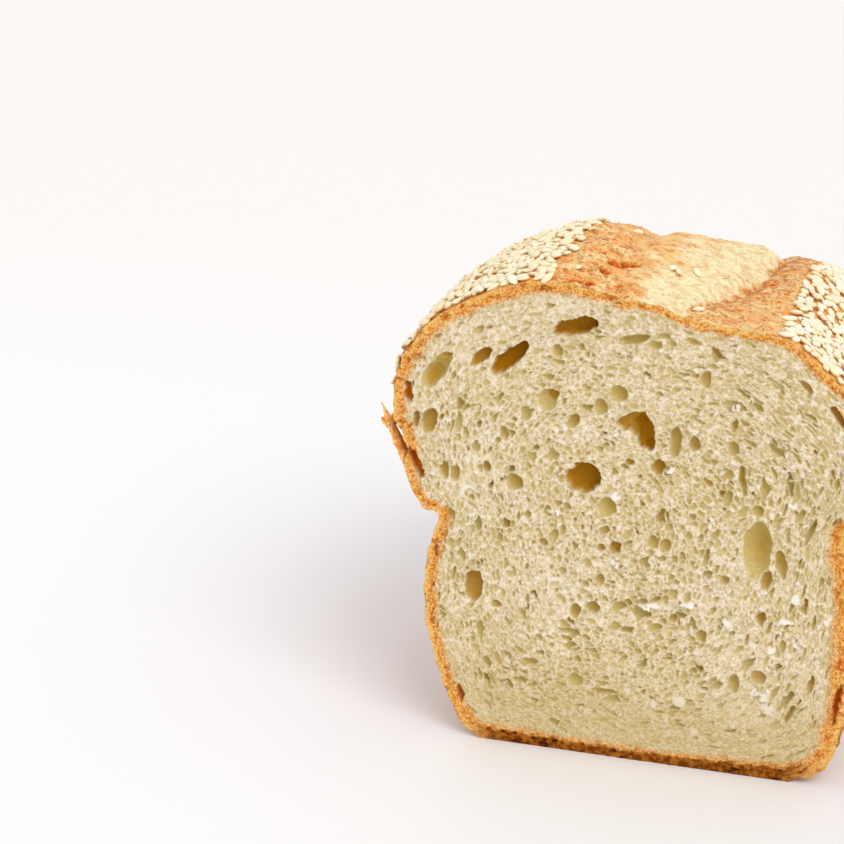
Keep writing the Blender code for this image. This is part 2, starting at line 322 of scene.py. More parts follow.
# Craters on the bare crust, left where bubbles broke: (x, y from the cut, radius, depth).
CRATERS = metres((
    (-88, 238, 27, 16),
    (-116, 204, 25, 14),
    (-127, 129, 20, 12),
    (-167, 24, 17, 10),
    (-137, 36, 16, 10),
    (-154, 156, 9, 7),
    (-205, 396, 9, 9),
    (-79, 73, 8, 6),
    (-157, 362, 8, 6),
    (195, 329, 13, 8),
    (211, 464, 12, 8),
    (223, 600, 15, 9),
    (136, 250, 9, 6),
    (240, 150, 10, 6),
), 4)
SMALL_CRATERS = 130
SMALL_CRATER_STRENGTH = 0.5
SMALL_CRATER_DEPTH_PER_SIZE = 2.2
CRATER_DEEPER = 1.3
EDGE_WOBBLE = 0.0005
dice = np.random.default_rng(21)
pool = np.flatnonzero((bare > 0.8) & (burst < 0.2))
small_spots = crust_points[dice.choice(pool, SMALL_CRATERS, replace=False)]
small_sizes = dice.uniform(0.0004, 0.0010, SMALL_CRATERS)
top_heights = np.array([crust_points[np.argmin(np.hypot(crust_points[:, 0] - x, from_cut - y)
                                               + (level_of < LEVEL["shoulder"])), 2]
                        for x, y, _, _ in CRATERS])
crater_spots = np.array([(x, y + cut_y, z) for (x, y, _, _), z in zip(CRATERS, top_heights)])
wobbly = crust_points + EDGE_WOBBLE * rough(crust_points, 0.0016, 31)[:, None]
number, gap = nearest(wobbly, small_spots)
crater = SMALL_CRATER_STRENGTH * (1 - smooth(0.45, 1.05, gap / small_sizes[number]))
crater_depth = SMALL_CRATER_DEPTH_PER_SIZE * crater * small_sizes[number]
for spot, (_, _, radius, depth) in zip(crater_spots, CRATERS):
    pit = 1 - smooth(0.56, 1.02, np.linalg.norm(wobbly - spot, axis=1) / radius)
    crater = np.maximum(crater, pit)
    crater_depth = np.maximum(crater_depth, CRATER_DEEPER * pit * depth)
crater = crater * on_top

# Blisters on the cheeks, where steam lifted the skin.
BLISTERS = 1500
BLISTER_SMALLEST = 0.0007
BLISTER_SIZE_RANGE = 0.0026
cheek = smooth(LEVEL["lip"] - 0.3, LEVEL["lip"] + 0.5, level_of)
cheek *= 1 - smooth(LEVEL["upper cheek"] + 0.3, LEVEL["shoulder"] + 0.4, level_of)
crowding = cheek * (0.25 + smooth(-0.2, 0.6, rough(crust_points, 0.022, 41)))
blister_pick = dice.choice(len(crust_points), BLISTERS, replace=False, p=crowding / crowding.sum())
blister_sizes = BLISTER_SMALLEST + BLISTER_SIZE_RANGE * dice.uniform(0, 1, BLISTERS) ** 2.2
blister_heights = blister_sizes * dice.uniform(0.18, 0.36, BLISTERS)
number_b, gap_b = nearest(wobbly, crust_points[blister_pick])
blister = 1 - smooth(0.0, 1.0, gap_b / blister_sizes[number_b])

streak_way = np.array([0.75, -0.66, 0.0])
beside_way = np.array([0.66, 0.75, 0.0])
streak_place = np.column_stack([crust_points @ streak_way, crust_points @ beside_way, crust_points[:, 2]])
streaks = rough(streak_place, (0.009, 0.0013, 0.02), 51, 3)
grain = rough(crust_points, (0.0011, 0.0011, 0.0042), 61, 2)

# How far the skin stands out from its smooth form.
SWELLING = 0.00045
UNEVENNESS = 0.00012
RIGHT_SHOULDER_RISE = 0.0042
FAR_BURST_RISE = 0.0006
FAR_BURST_DIP = 0.0016
FAR_BURST_DIP_WIDTH = 0.0035
BARE_ROUGHNESS = 0.00032
BURST_STREAKS = 0.00017
BURST_LUMPS = 0.00045
WALL_GRAIN = 0.00013
TORN_EDGE_HEIGHT = 0.00055
TORN_EDGE_REACH = 0.0035
lift = SWELLING * risen * rough(crust_points, 0.016, 71, 2)
lift += UNEVENNESS * rough(crust_points, 0.0022, 81, 2)
right_shoulder = smooth(LEVEL["upper cheek"] + 0.2, LEVEL["shoulder"] + 0.4, level_of)
right_shoulder *= smooth(0.012, 0.030, crust_points[:, 0])
right_shoulder *= smooth(0.022, 0.060, from_cut)
lift += RIGHT_SHOULDER_RISE * right_shoulder
far_back = on_top * smooth(0.030, 0.055, from_cut)
beside_burst = (across + 1.05) * burst_sides(from_cut)[1] / FAR_BURST_DIP_WIDTH
lift += far_back * (FAR_BURST_RISE * burst - FAR_BURST_DIP * np.exp(-beside_burst * beside_burst))
lift += BARE_ROUGHNESS * bare * (1 - burst) * rough(crust_points, 0.0019, 91, 3)
lift += burst * (BURST_STREAKS * streaks + BURST_LUMPS * rough(crust_points, 0.006, 95, 3))
lift -= crater_depth * on_top
lift += cheek * blister * blister_heights[number_b]
lift += WALL_GRAIN * wall * grain
lift = np.where(level_of <= 0.0, 0.0, lift * smooth(0.0, 0.4, level_of))
torn_edge = smooth(TORN_EDGE_REACH, 0.0, from_cut) * (0.35 + 0.65 * wall) * smooth(0.0, 0.4, level_of)
lift += TORN_EDGE_HEIGHT * torn_edge * (rough(crust_points, 0.0034, 99, 4) - 0.25)
crust_points = crust_points + skin_out * lift[:, None]
crust_points[:, 2] = np.maximum(crust_points[:, 2], 0.0)

# Where the flake tore away, the cheek is left hollow.
TORN_HEIGHT = 0.0738
TORN_SPAN = 0.0042
TORN_DEPTH = 0.0019
TORN_BEYOND_X = -0.050
torn_away = np.exp(-(((crust_points[:, 2] - TORN_HEIGHT) / TORN_SPAN) ** 4))
torn_away = torn_away * smooth(0.008, 0.001, from_cut) * (crust_points[:, 0] < TORN_BEYOND_X)
crust_points[:, 0] += TORN_DEPTH * torn_away
edge_rows = np.concatenate([skin_index[:, 0], skin_index[:, -1], ridge_index[0], base_index[0]])
crust_points[edge_rows, 1] = cut_y
move_points(crust, crust_points)
paint(crust, "burst", burst)
# Paler to the burst's right: the torn dough's paleness, and a painted highlight where the key light
# falls.
paint(crust, "pale", burst * smooth(-0.95, 0.15, across + 0.7 * rough(crust_points, 0.006, 12)))
paint(crust, "crater", crater)
paint(crust, "bare", bare)

# Darker specks gathered in the valley at the right foot of the burst: painted shade in that crease.
VALLEY_WIDTH = 0.0045
valley = (across - 1.15) * burst_sides(from_cut)[1] / VALLEY_WIDTH
paint(crust, "valley", on_top * np.exp(-valley * valley) * smooth(0.008, 0.016, from_cut))
paint(crust, "wall", wall)
paint(crust, "blister", cheek * blister)
paint(crust, "streak", 0.5 + 0.5 * np.clip(streaks, -1, 1))
# Painted shade in the crease at the waist, under the lip.
paint(crust, "waist", np.exp(-((level_of - LEVEL["waist"]) / 0.55) ** 2))
paint(crust, "height", level_of / TOP_LEVEL)


class Wire:
    """A shader socket. Its arithmetic adds Math nodes, and node() adds any other node."""

    def __init__(self, tree, socket=None):
        self.tree = tree
        self.socket = socket

    def node(self, kind, settings=None, sockets=None, output=0):
        """Adds a node: its settings first, then the values or links of its sockets."""
        made = self.tree.nodes.new(kind)
        for name, value in (settings or {}).items():
            setattr(made, name, value)
        for name, value in (sockets or {}).items():
            if isinstance(value, Wire):
                self.tree.links.new(value.socket, made.inputs[name])
            else:
                made.inputs[name].default_value = value
        return Wire(self.tree, made.outputs[output])

    def maths(self, operation, *values):
        return self.node("ShaderNodeMath", {"operation": operation}, dict(enumerate(values)))

    def __add__(self, other):
        return self.maths("ADD", self, other)

    def __sub__(self, other):
        return self.maths("SUBTRACT", self, other)

    def __rsub__(self, other):
        return self.maths("SUBTRACT", other, self)

    def __mul__(self, other):
        return self.maths("MULTIPLY", self, other)

    def __truediv__(self, other):
        return self.maths("DIVIDE", self, other)

    __radd__ = __add__


def tint(red, green, blue):
    """A colour given as 0 to 255, as the shader wants it."""
    def linear(value):
        value = value / 255
        return value / 12.92 if value <= 0.04045 else ((value + 0.055) / 1.055) ** 2.4
    return (linear(red), linear(green), linear(blue), 1.0)


def new_finish(name, **constants):
    """A material, its shader, and a wire to build from. Constants are set on the shader's sockets."""
    material = bpy.data.materials.new(name)
    material.use_nodes = True
    shader = material.node_tree.nodes["Principled BSDF"]
    for socket, value in constants.items():
        shader.inputs[socket.replace("_", " ")].default_value = value
    return material, shader, Wire(material.node_tree)


def painted(start, name):
    """A number kept on the mesh by paint()."""
    return start.node("ShaderNodeAttribute", {"attribute_name": name}, output=2)


def place(start):
    """Where a point is on the object, in metres."""
    return start.node("ShaderNodeTexCoord", output=3)


def speckle(start, size, detail=2.0, stretch=(1.0, 1.0, 1.0)):
    """Noise from about 0 to 1 with lumps of that size."""
    at = start.node("ShaderNodeMapping", None, {"Vector": place(start), "Scale": stretch})
    return start.node("ShaderNodeTexNoise", None, {"Vector": at, "Scale": 1 / size, "Detail": detail})


def cells(start, size):
    """Distance to the middle of the nearest of many cells of that size."""
    return start.node("ShaderNodeTexVoronoi", None, {"Vector": place(start), "Scale": 1 / size})


def between(low, high, value):
    """0 where the value is below low, 1 where it is above high."""
    sockets = {"Value": value, "From Min": low, "From Max": high}
    return value.node("ShaderNodeMapRange", {"interpolation_type": "SMOOTHSTEP"}, sockets)


def over(mask, under, top):
    """The colour under, with the top colour over it where the mask is 1."""
    return mask.node("ShaderNodeMix", {"data_type": "RGBA"}, {0: mask, 6: under, 7: top}, output=2)


def coated(colour, *coats):
    """The colour with coats over it in turn, each given as where it lies and its colour."""
    for where, coat in coats:
        colour = over(where, colour, coat)
    return colour


def connect(wire, shader, socket):
    wire.tree.links.new(wire.socket, shader.inputs[socket])


def raised(height, depth, shader):
    """Small relief that the mesh is too coarse to hold."""
    bump = height.node("ShaderNodeBump", None, {"Strength": 1.0, "Distance": depth, "Height": height})
    connect(bump, shader, "Normal")


baked, shader, start = new_finish("baked crust", Specular_IOR_Level=0.28, Subsurface_Weight=0.08,
                                  Subsurface_Radius=(0.8, 0.4, 0.15), Subsurface_Scale=0.001)
on_bare = painted(start, "bare")
on_burst = painted(start, "burst")
on_wall = painted(start, "wall")
fine = speckle(start, 0.0012, 4.0)
broad = speckle(start, 0.012, 3.0)
patches = speckle(start, 0.0042, 3.0)
specks = (1 - between(0.12, 0.30, cells(start, 0.0011))) * between(0.44, 0.56, speckle(start, 0.0032))
browner = between(0.54, 0.62, speckle(start, 0.0022, 5.0))
# Pale grains on the bare crust, partly painted glints.
pale_grains_and_glints = between(0.60, 0.66, speckle(start, 0.0009))
grains = 1 - between(0.34, 0.44, speckle(start, 0.0008, 3.0))
top_colour = coated(
    over(between(0.36, 0.64, patches), tint(254, 170, 84), tint(255, 222, 150)),
    (between(0.40, 0.60, fine) * 0.5, tint(255, 200, 130)),
    (between(0.54, 0.62, patches) * 0.6, tint(255, 222, 148)),
    (specks * 0.9, tint(184, 84, 10)),
    (browner * 0.75, tint(208, 108, 24)),
    (pale_grains_and_glints * 0.8, tint(255, 230, 180)),
    (grains * 0.4, tint(220, 126, 44)),
)
# The crust among the seeds, lighter than the cheeks: its own colour, brightened as painted light in the
# gaps.
seeded_crust_and_fill_light = over(between(0.3, 0.7, fine), tint(240, 158, 66), tint(255, 206, 118))
cheek_colour = coated(
    over(between(0.35, 0.65, broad), tint(170, 84, 14), tint(216, 136, 44)),
    (between(0.0, 0.9, painted(start, "blister")) * 0.6, tint(146, 66, 10)),
    (between(0.52, 0.66, speckle(start, 0.0050, 4.0)) * 0.6, tint(150, 70, 14)),
)
grain_lines = speckle(start, 0.0011, 3.0, (1.0, 1.0, 0.28))
level_here = painted(start, "height")
wall_colour = coated(
    over(between(0.05, 0.30, level_here), tint(206, 138, 50), tint(176, 96, 24)),
    (between(0.50, 0.70, grain_lines) * 0.7, tint(136, 64, 10)),
    ((1 - between(0.28, 0.44, grain_lines)) * 0.35, tint(222, 158, 72)),
)
pale = painted(start, "pale")
torn_spots = between(0.50, 0.60, speckle(start, 0.0030, 5.0)) * (1 - pale * 0.62)
burst_colour = coated(
    # Paler on the burst's right side: partly a painted highlight.
    over(pale, tint(253, 205, 128), tint(255, 240, 190)),
    (between(0.66, 0.92, painted(start, "streak")) * 0.35, tint(236, 166, 86)),
    (torn_spots * 0.9, tint(230, 144, 60)),
    (between(0.58, 0.66, fine) * 0.5, tint(236, 164, 82)),
)
# Painted shade in the valley beside the burst, broken into specks.
valley_shade_specks = painted(start, "valley") * between(0.44, 0.56, speckle(start, 0.0024, 5.0))
broken = painted(start, "crater")
pit_colour = over(between(0.46, 0.60, fine), tint(208, 88, 8), tint(232, 128, 44))
colour = coated(
    cheek_colour,
    (between(0.62, 0.78, level_here), seeded_crust_and_fill_light),
    (on_bare, top_colour),
    (valley_shade_specks * 0.75, tint(192, 96, 40)),
    (on_burst, burst_colour),
    (between(0.0, 0.25, broken), tint(252, 176, 82)),
    (between(0.12, 0.56, broken), pit_colour),
    (on_wall, wall_colour),
    # painted shade: dark patches in the crease at the waist, under the lip
    (painted(start, "waist") * between(0.15, 0.60, broad), tint(110, 46, 8)),
)
connect(colour, shader, "Base Color")
connect(0.38 + on_bare * 0.18 + on_wall * 0.22, shader, "Roughness")
rise = fine * (1 + on_bare) - specks * 0.8 - grains * 0.5 * (on_bare - on_burst)
CRUST_RELIEF = 0.0005
raised(rise + grain_lines * on_wall, CRUST_RELIEF, shader)
crust.data.materials.append(baked)

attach(crust, "root")
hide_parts("tin_loaf")

# Crumb
# The open white crumb where the knife went through: gluten walls round bubbles of every size, round
# in the middle, drawn out along the crust towards the sides, and pressed flat just under it.

# The bubbles that stand out: (x, z, width, height, depth, lean in degrees, painted shade from 0 to 1).
BUBBLES = metres((
    (-162, 1046, 103, 39, 75, 15, 0.95),
    (-313, 961, 118, 42, 80, 42, 1.00),
    (-381, 959, 66, 26, 40, 38, 0.90),
    (-484, 920, 108, 42, 24, 52, 0.48),
    (-494, 902, 62, 36, 26, 62, 0.80),
    (-462, 953, 36, 11, 22, 22, 0.85),
    (-26, 1029, 76, 24, 24, 15, 0.40),
    (19, 1021, 40, 18, 14, 5, 0.30),
    (103, 1035, 38, 18, 14, -20, 0.35),
    (158, 1012, 40, 16, 24, -38, 0.75),
    (-201, 988, 20, 26, 18, 0, 0.45),
    (-147, 1001, 14, 19, 14, 0, 0.40),
    (-56, 901, 41, 40, 24, 0, 0.40),
    (-96, 865, 32, 40, 20, 0, 0.35),
    (-221, 872, 46, 52, 22, -20, 0.30),
    (-209, 882, 27, 29, 36, 0, 0.90),
    (-160, 825, 42, 28, 24, 42, 0.55),
    (-26, 841, 72, 34, 50, 24, 0.85),
    (4, 813, 46, 94, 75, 20, 1.00),
    (-12, 824, 40, 50, 60, 20, 0.90),
    (-136, 693, 78, 76, 85, 10, 0.95),
    (75, 799, 27, 78, 28, -4, 0.50),
    (118, 798, 27, 42, 28, 0, 0.55),
    (206, 798, 24, 42, 20, 0, 0.35),
    (39, 738, 32, 41, 34, -30, 0.80),
    (228, 722, 20, 71, 24, 8, 0.60),
    (-323, 778, 22, 34, 20, 0, 0.40),
    (-365, 695, 22, 27, 26, 0, 0.80),
    (-296, 666, 43, 42, 26, 30, 0.60),
    (-440, 672, 22, 42, 20, 0, 0.50),
    (-465, 677, 20, 45, 22, 0, 0.60),
    (-502, 797, 36, 60, 36, -12, 0.65),
    (-535, 795, 18, 42, 30, -12, 0.60),
    (-551, 858, 20, 52, 32, 0, 0.95),
    (-535, 688, 21, 80, 36, 24, 1.00),
    (-76, 630, 49, 49, 20, 0, 0.34),
    (271, 564, 67, 142, 30, -3, 0.34),
    (275, 553, 50, 106, 22, -4, 0.60),
    (267, 657, 27, 29, 18, 0, 0.35),
    (32, 557, 25, 37, 18, 0, 0.35),
    (60, 551, 28, 34, 20, -20, 0.40),
    (-56, 530, 33, 30, 34, 0, 0.85),
    (-90, 531, 21, 20, 20, 0, 0.60),
    (-392, 393, 45, 78, 44, -8, 0.75),
    (-144, 363, 29, 36, 26, 0, 0.65),
    (-102, 376, 36, 28, 26, 0, 0.60),
    (-40, 387, 43, 23, 16, 10, 0.30),
    (-336, 354, 30, 21, 18, 0, 0.40),
    (153, 340, 32, 35, 22, 0, 0.50),
    (85, 375, 21, 22, 20, 0, 0.45),
    (286, 399, 20, 34, 28, 0, 0.80),
    (295, 490, 25, 44, 26, 0, 0.65),
    (323, 534, 27, 74, 26, 14, 0.55),
    (153, 257, 22, 16, 26, 0, 0.85),
    (231, 229, 28, 50, 24, 0, 0.50),
    (290, 250, 34, 38, 24, 0, 0.55),
    (-140, 188, 41, 31, 16, 0, 0.25),
    (-70, 166, 65, 18, 18, 0, 0.35),
    (364, 168, 58, 11, 26, 68, 0.60),
    (-423, 111, 20, 42, 30, 20, 0.95),
    (-249, 220, 34, 21, 16, 0, 0.30),
    (-225, 525, 22, 22, 18, 0, 0.45),
    (199, 482, 23, 24, 20, 0, 0.50),
    (-89, 446, 28, 30, 18, 0, 0.40),
    (429, 891, 64, 17, 34, -60, 0.85),
    (359, 954, 42, 16, 20, -50, 0.55),
    (206, 854, 13, 35, 22, 0, 0.60),
    (137, 955, 27, 41, 20, -10, 0.40),
    (468, 212, 16, 90, 30, -6, 1.00),
), 5)
# Torn shreds that stand off the cut and catch the light: (x, z, width, height, lean in degrees).
SHREDS = metres((
    (197, 362, 35, 14, -8),
    (206, 375, 16, 26, 0),
    (333, 402, 26, 20, 0),
    (376, 353, 20, 32, 10),
    (293, 214, 34, 24, 0),
    (302, 193, 18, 40, 20),
    (315, 173, 30, 14, -40),
    (108, 165, 26, 18, 0),
    (29, 394, 34, 16, 0),
    (125, 410, 40, 14, 10),
    (316, 321, 18, 14, 0),
    (51, 149, 16, 12, 0),
    (440, 412, 14, 20, 0),
    (206, 892, 20, 16, 0),
    (-62, 800, 26, 14, 0),
    (320, 813, 14, 12, 0),
    (345, 680, 14, 14, 0),
    (368, 749, 12, 16, 0),
    (69, 728, 16, 12, 0),
    (-51, 494, 16, 20, 0),
    (361, 453, 14, 18, 0),
    (163, 618, 12, 26, 0),
    (-58, 658, 18, 18, 0),
    (-190, 600, 14, 10, 0),
), 4)
# Crumbs that hang over the edge of a large bubble, placed the same way.
OVERHANGS = metres((
    (-165, 716, 26, 16, 35),
    (-345, 912, 20, 18, 40),
    (-205, 1058, 22, 10, 20),
    (-58, 858, 18, 12, 0),
), 4)
# Where the crumb tore more than it was cut, and stands off whiter: (x, z, size).
AIRY_AREAS = metres((
    (-190, 370, 110),
    (270, 260, 100),
    (-330, 700, 90),
    (120, 420, 80),
), 3)
CRUMB_MIDDLE = np.array([-0.004, 0.058])
PIXEL = 0.00018

cut_outline = np.concatenate([
    crust_points[skin_index[:, 0]],
    crust_points[ridge_index[0]],
    crust_points[skin_index[::-1, -1]],
    crust_points[base_index[0, ::-1]],
])[:, [0, 2]]
map_low = cut_outline.min(axis=0) - 0.002
map_size = np.ceil((cut_outline.max(axis=0) + 0.002 - map_low) / PIXEL).astype(int)
map_x, map_z = np.meshgrid(*(low + PIXEL * np.arange(n) for low, n in zip(map_low, map_size)))
map_places = np.column_stack([map_x.ravel(), np.zeros(map_x.size), map_z.ravel()])


def on_map(values):
    return values.reshape(map_x.shape)


# The way that bubbles are drawn out: along the crust that lies beyond them.
turns = np.linspace(-np.pi, np.pi, 721)
spokes = cut_outline - CRUMB_MIDDLE
spoke_turn = np.arctan2(spokes[:, 1], spokes[:, 0])
spoke_order = np.argsort(spoke_turn)
reach_at = np.interp(turns, spoke_turn[spoke_order], np.hypot(*spokes[spoke_order].T), period=2 * np.pi)
rim = reach_at[:, None] * np.column_stack([np.cos(turns), np.sin(turns)])
rim_way = np.roll(rim, -1, axis=0) - np.roll(rim, 1, axis=0)
rim_twice = np.exp(2j * np.arctan2(rim_way[:, 1], rim_way[:, 0]))
window = np.hanning(61) / np.hanning(61).sum()
rim_twice = np.convolve(np.concatenate([rim_twice[-31:-1], rim_twice, rim_twice[1:31]]), window, "valid")


PULL_LEAN = math.radians(50)


def flow(x, z):
    """How far out a place is, from 0 in the middle to 1 at the crust, and the way of its bubbles.

    The rise of the dough also pulled the lower right part up and outward."""
    turn = np.arctan2(z - CRUMB_MIDDLE[1], x - CRUMB_MIDDLE[0])
    out = np.hypot(x - CRUMB_MIDDLE[0], z - CRUMB_MIDDLE[1]) / np.interp(turn, turns, reach_at)
    twice = np.interp(turn, turns, rim_twice.real) + 1j * np.interp(turn, turns, rim_twice.imag)
    pulled = smooth(1.0, 0.5, out) * smooth(-0.012, 0.008, x) * smooth(0.078, 0.045, z)
    twice = twice + 1.5 * pulled * np.exp(2j * PULL_LEAN)
    return out, np.angle(twice) / 2


FINE_WARP = 0.00036
BROAD_WARP = 0.00030


def warped(along_axis, seed):
    """One side of the map's places, pushed about so that no bubble comes out a clean oval."""
    fine_push = on_map(rough(map_places, 0.0022, 100 + seed, 4))
    broad_push = on_map(rough(map_places, 0.0060, 106 + seed, 1))
    return along_axis + (FINE_WARP * fine_push + BROAD_WARP * broad_push)


warped_x = warped(map_x, 1)
warped_z = warped(map_z, 11)


def near(x, z, reach):
    """The part of the map within reach of a place."""
    low = np.maximum(((np.array([x, z]) - reach - map_low) / PIXEL).astype(int), 0)
    high = ((np.array([x, z]) + reach - map_low) / PIXEL).astype(int) + 2
    return slice(low[1], high[1]), slice(low[0], high[0])


def in_line(part, x, z, lean):
    """Distances from a place along and across a leaning line, over a part of the map."""
    cos, sin = math.cos(lean), math.sin(lean)
    dx, dz = warped_x[part] - x, warped_z[part] - z
    return dx * cos + dz * sin, dz * cos - dx * sin


# Every place on the cut belongs to the bubble that it lies nearest to, for the bubbles' sizes, and
# the walls stand where two bubbles meet: (mean radius, how many).
DEEP_SHARE = 0.045
SMALL_BUBBLE_DEEPEST = 0.0017
BUBBLE_SIZES = ((0.00130, 90), (0.00090, 420), (0.00062, 1700), (0.00042, 5200), (0.00030, 6500))
first = np.full(map_x.shape, 1.0)
second = np.full(map_x.shape, 1.0)
owner = np.zeros(map_x.shape, dtype=int)
bubble_radius, bubble_depth, bubble_shade, bubble_middle = [1.0], [0.0], [0.0], [(0.0, 0.0)]
taken = np.zeros(map_x.shape, dtype=bool)
for mean_radius, how_many in BUBBLE_SIZES:
    spots = map_low + dice.uniform(0, 1, (how_many, 2)) * map_size * PIXEL
    far_out, ways = flow(*spots.T)
    patchy = 1 + 0.25 * rough(np.column_stack([spots[:, 0], 0 * far_out, spots[:, 1]]), 0.018, 137, 2)
    fine_rim = 1 - 0.36 * smooth(0.78, 0.97, far_out) - 0.20 * smooth(0.026, 0.010, spots[:, 1])
    radii = mean_radius * dice.uniform(0.75, 1.3, how_many) * fine_rim * patchy
    right = smooth(0.002, 0.028, spots[:, 0])
    longer = 1.10 + smooth(0.25, 0.95, far_out) * (1.0 + 1.9 * right) + dice.uniform(-0.1, 0.55, how_many)
    ways = ways + dice.normal(0, 0.20, how_many) * (1 - 0.5 * right)
    for (x, z), radius, long, way in zip(spots, radii, longer, ways):
        column, row = np.minimum(((np.array([x, z]) - map_low) / PIXEL).astype(int), map_size - 1)
        if taken[row, column]:
            continue
        part = near(x, z, radius * long + 0.0012)
        along_it, across_it = in_line(part, x, z, way)
        away = np.sqrt((along_it / math.sqrt(long)) ** 2 + (across_it * math.sqrt(long)) ** 2)
        taken[part] |= away < 0.85 * radius
        away = away - radius
        closer = away < first[part]
        second[part] = np.where(closer, first[part], np.minimum(second[part], away))
        first[part] = np.where(closer, away, first[part])
        owner[part] = np.where(closer, len(bubble_radius), owner[part])
        bubble_middle.append((x, z))
        bubble_radius.append(radius)
        deep = dice.uniform() < DEEP_SHARE
        bubble_depth.append(min(radius * dice.uniform(0.3, 1.2) * (1 + deep), SMALL_BUBBLE_DEEPEST))
        bubble_shade.append(deep * dice.uniform(0.2, 0.7))
bubble_radius, bubble_depth = np.array(bubble_radius), np.array(bubble_depth)
bubble_shade, bubble_middle = np.array(bubble_shade), np.array(bubble_middle)
WALL_WIDTH = 0.00017
WALL_WIDTH_RANGE = 0.00010
wall_width = WALL_WIDTH + WALL_WIDTH_RANGE * on_map(rough(map_places, 0.0030, 105, 3))
inward = np.clip((second - first - wall_width) / (1.3 * bubble_radius[owner]), 0, 1)
rounded = np.sqrt(1 - (1 - inward) ** 2)
hollow = bubble_depth[owner] * rounded
# Painted shade: the few deep small pores are coloured darker inside.
dark = bubble_shade[owner] * rounded
cell_wall = smooth(0.00016, 0.0, second - first - wall_width)
# Painted shade: pores are coloured darker on their upper right side, whose inside faces away from the
# light.
off_x, off_z = map_x - bubble_middle[owner, 0], map_z - bubble_middle[owner, 1]
shade_side = np.clip(0.5 + 0.5 * (0.8 * off_x + 0.6 * off_z) / bubble_radius[owner], 0, 1)


ragged = on_map(rough(map_places, 0.0011, 121, 3))
opened = np.zeros(map_x.shape, dtype=bool)


def open_bubble(x, z, width, height, depth, lean, darkness):
    """Hollows the map out by one large bubble: torn and steep if it's dark, soft if it's shallow."""
    part = near(x, z, 0.75 * max(width, height) + 0.0006)
    along_it, across_it = in_line(part, x, z, lean)
    out = np.hypot(along_it / (width / 2), across_it / (height / 2))
    out = np.maximum(out + 0.0005 * max(darkness, 0.5) * ragged[part] / min(width, height), 0)
    steepness = 2 + 4 * darkness
    pocket = 0.6 * depth * np.clip(1 - out**steepness, 0, 1) ** (1 - 0.5 * darkness)
    pocket += max(0.6 - darkness, 0.0) * hollow[part]
    inside = out < 1
    before = opened[part]
    # Painted shade: the bubble's inside is coloured dark, with a crisper edge the deeper it goes.
    edge_softness = 0.08 + 0.08 * smooth(0.0075, 0.0050, depth) + 0.52 * smooth(0.0046, 0.0020, depth)
    shade = darkness * smooth(1.06, 1.06 - edge_softness, out)
    dark[part] = np.where(inside, np.maximum(shade, np.where(before, dark[part], 0)), dark[part])
    hollow[part] = np.where(before, np.maximum(pocket, hollow[part]),
                            np.where(inside, pocket, hollow[part] * smooth(1.0, 1.25, out)))
    # Painted shade: the large bubble's upper right side, too, is coloured darker.
    up_right = 0.8 * (warped_x[part] - x) + 0.6 * (warped_z[part] - z)
    side = 0.5 + 0.45 * up_right / (0.4 * max(width, height))
    shade_side[part] = np.where(inside, np.clip(side, 0, 1), shade_side[part])
    wall_here = np.maximum(cell_wall[part], darkness * smooth(1.25, 1.05, out))
    cell_wall[part] = np.where(inside | before, 0, wall_here)
    opened[part] = before | inside


for x, z, width, height, depth, lean, darkness in BUBBLES:
    open_bubble(x, z, width, height, depth, math.radians(lean), darkness)

for x, z, width, height, lean in OVERHANGS:
    part = near(x, z, max(width, height))
    along_it, across_it = in_line(part, x, z, math.radians(lean))
    out = np.hypot(along_it / (width / 2), across_it / (height / 2)) + 0.3 * ragged[part]
    covered = smooth(1.1, 0.9, out)
    hollow[part] *= 1 - covered
    dark[part] *= 1 - covered

shred = np.zeros(map_x.shape)
SMALL_SHREDS = 300
SMALL_SHRED_WHITENESS = 0.6
small_shreds = [(x, z, *dice.uniform(0.0005, 0.0014, 2), dice.uniform(0, 180))
                for x, z in map_low + dice.uniform(0.08, 0.92, (SMALL_SHREDS, 2)) * map_size * PIXEL]
for number, (x, z, width, height, lean) in enumerate((*SHREDS, *small_shreds)):
    part = near(x, z, max(width, height))
    along_it, across_it = in_line(part, x, z, math.radians(lean))
    out = np.hypot(along_it / (0.75 * width), across_it / (0.75 * height)) - 0.45 * ragged[part]
    whiteness = 1.0 if number < len(SHREDS) else SMALL_SHRED_WHITENESS
    shred[part] = np.maximum(shred[part], whiteness * smooth(1.0, 0.5, out))
shred = shred * smooth(-0.30, 0.0, ragged) * (1 - opened)
SHRED_STANDS_OFF = 0.00055
CUT_ROUGHNESS = 0.00014
CUT_WAVES = 0.00022
waves = on_map(rough(map_places, 0.014, 131, 2))
relief = hollow * (1 - 0.85 * shred) - SHRED_STANDS_OFF * shred
relief = relief + CUT_ROUGHNESS * ragged * (hollow < 0.0002) + CUT_WAVES * waves


def read_map(values, x, z):
    """The map's value at any place, read between its pixels."""
    column, row = (x - map_low[0]) / PIXEL, (z - map_low[1]) / PIXEL
    left = np.clip(column.astype(int), 0, map_size[0] - 2)
    low = np.clip(row.astype(int), 0, map_size[1] - 2)
    u, v = np.clip(column - left, 0, 1), np.clip(row - low, 0, 1)
    bottom = values[low, left] * (1 - u) + values[low, left + 1] * u
    top = values[low + 1, left] * (1 - u) + values[low + 1, left + 1] * u
    return bottom * (1 - v) + top * v


